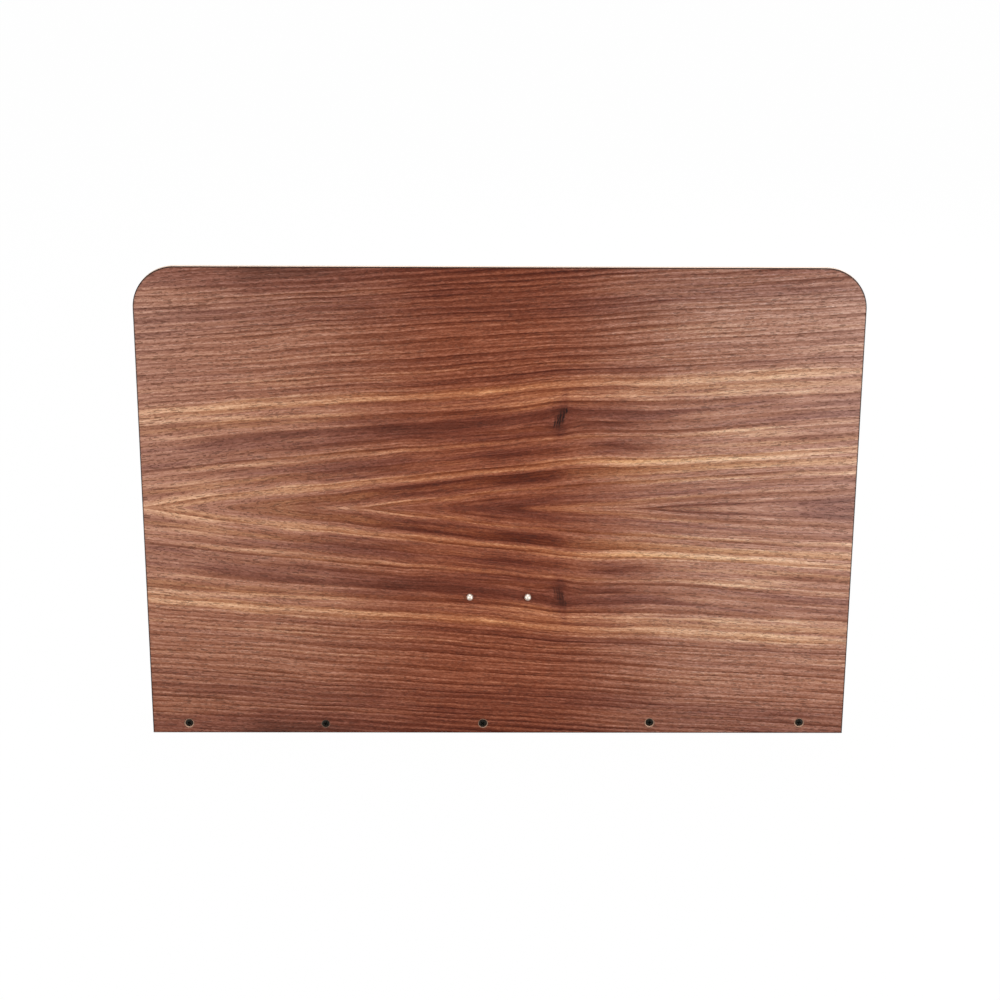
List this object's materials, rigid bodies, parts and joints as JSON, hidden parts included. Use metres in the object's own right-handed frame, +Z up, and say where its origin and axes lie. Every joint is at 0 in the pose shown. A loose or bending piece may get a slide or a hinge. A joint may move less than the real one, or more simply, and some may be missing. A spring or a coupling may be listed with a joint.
{
  "type": "music stand desk",
  "caption": "Thin walnut-veneered board with rounded top corners, a screwed-on sheet ledge along its foot and studs behind for a stand bracket.",
  "frame": {"origin": "on the panel's rear face, midway between the two bracket studs", "axes": "+Z up the panel, +Y out of the front face towards the reader, +X to the right for a person behind the desk"},
  "size_m": [0.5, 0.0592, 0.345],
  "materials": {
    "walnut_veneer": "satin lacquer",
    "solid_walnut": "satin lacquer",
    "crossband": "raw",
    "core": "raw",
    "black_screw": "black oxide",
    "nickel": "polished nickel plate"
  },
  "bodies": {
    "root": {"rear_veneer_upper": "walnut_veneer", "rear_veneer_lower": "walnut_veneer", "rear_crossband": "crossband", "core_ply": "core", "front_crossband": "crossband", "front_veneer_upper": "walnut_veneer", "front_veneer_lower": "walnut_veneer", "ledge_shelf": "solid_walnut", "ledge_lip": "solid_walnut", "ledge_screw_1": "black_screw", "ledge_screw_2": "black_screw", "ledge_screw_3": "black_screw", "ledge_screw_4": "black_screw", "ledge_screw_5": "black_screw", "bracket_stud_left": "nickel", "bracket_stud_right": "nickel"}
  },
  "joints": []
}
